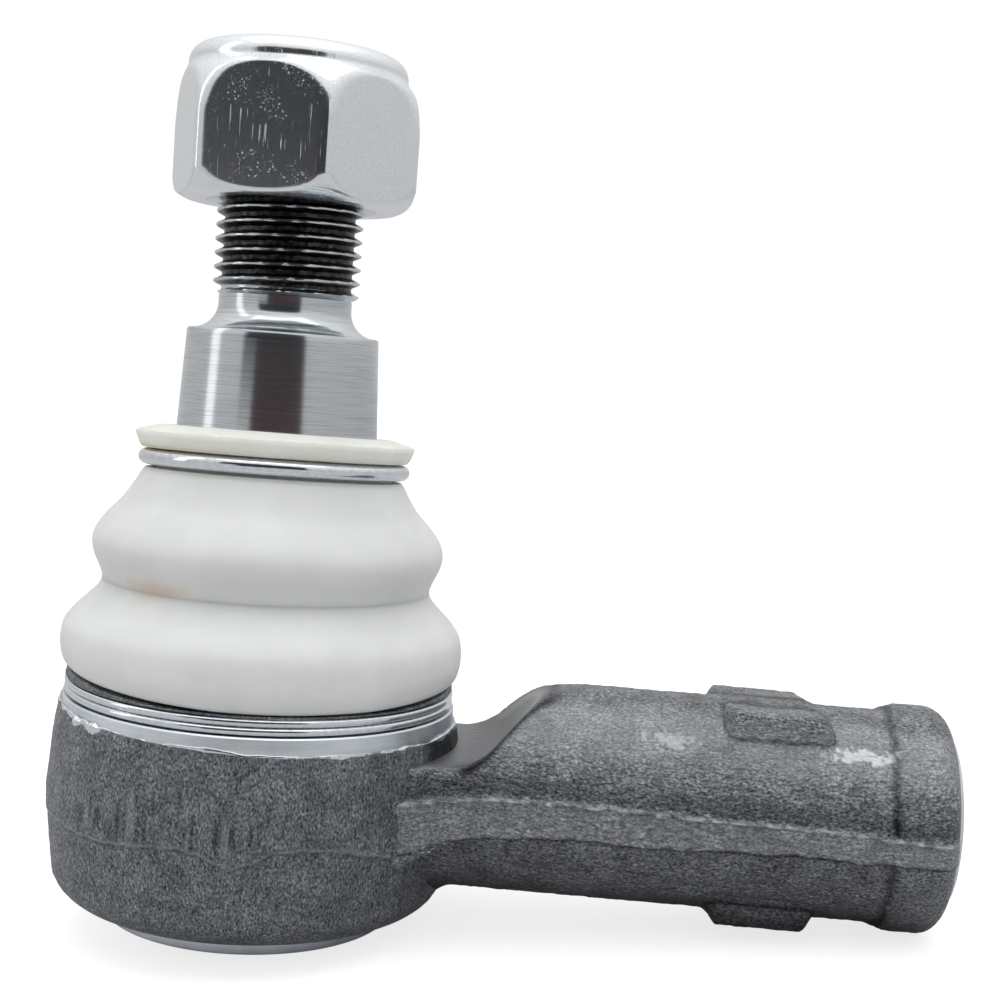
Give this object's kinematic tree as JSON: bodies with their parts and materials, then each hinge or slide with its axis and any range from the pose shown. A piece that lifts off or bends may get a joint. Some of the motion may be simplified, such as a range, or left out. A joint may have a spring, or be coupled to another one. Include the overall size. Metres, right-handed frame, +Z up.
{
  "type": "tie rod end",
  "caption": "Ball-jointed tie rod end: tapered, threaded ball stud in a forged housing with a threaded shank, pleated boot, wire rings and lock nut.",
  "frame": {"origin": "centre of the closing cover's flat underside, on the ball stud's axis", "axes": "+Z up along the ball stud's axis, +X out along the threaded shank's axis, which is 16.3 mm above the origin"},
  "size_m": [0.0982, 0.0448, 0.0938],
  "materials": {
    "forged_steel": "shot-blasted forging skin",
    "pressed_steel": "dull pressed sheet",
    "spring_steel": "oiled spring steel",
    "acetal": "moulded, greased",
    "ground_steel": "turned and rolled, bright",
    "boot_polyurethane": "soft satin, slightly translucent",
    "lip_polyurethane": "soft satin, ivory",
    "ring_wire": "bright drawn wire",
    "zinc_plated_steel": "bright zinc plate, scuffed flats",
    "nylon": "turned nylon ring"
  },
  "bodies": {
    "housing": {"housing": "forged_steel", "closing_cover": "pressed_steel", "preload_spring": "spring_steel", "lower_ball_seat": "acetal", "upper_ball_seat": "acetal", "bottom_clamp_ring": "ring_wire"},
    "boot": {"dust_boot": "boot_polyurethane"},
    "boot_neck": {"boot_sealing_lip": "lip_polyurethane", "top_clamp_ring": "ring_wire"},
    "stud": {"ball_stud": "ground_steel"},
    "nut_ring": {"nut_insert": "nylon"},
    "nut": {"lock_nut": "zinc_plated_steel"}
  },
  "joints": [
    {"name": "stud_tilt_sideways", "type": "hinge", "parent": "housing", "child": "boot", "pos_m": [0, 0, 0.0163], "axis": [1, 0, 0], "range_deg": [-15, 15], "deforming": ["dust_boot"]},
    {"name": "stud_tilt_lengthways", "type": "hinge", "parent": "boot", "child": "boot_neck", "pos_m": [0, 0, 0.0163], "axis": [0, 1, 0], "range_deg": [-15, 15], "deforming": ["dust_boot"]},
    {"name": "stud_spin", "type": "hinge", "parent": "boot_neck", "child": "stud", "pos_m": [0, 0, 0.0163], "axis": [0, 0, 1], "continuous": true},
    {"name": "nut_travel", "type": "slide", "parent": "stud", "child": "nut_ring", "axis": [0, 0, 1], "range_m": [-0.009, 0.006]},
    {"name": "nut_turn", "type": "hinge", "parent": "nut_ring", "child": "nut", "pos_m": [0, 0, 0.0857], "axis": [0, 0, 1], "range_deg": [-2160, 1440]}
  ],
  "couplings": [
    {"joint": "nut_travel", "follows": "nut_turn", "m_per_rad": 0.00023873}
  ]
}
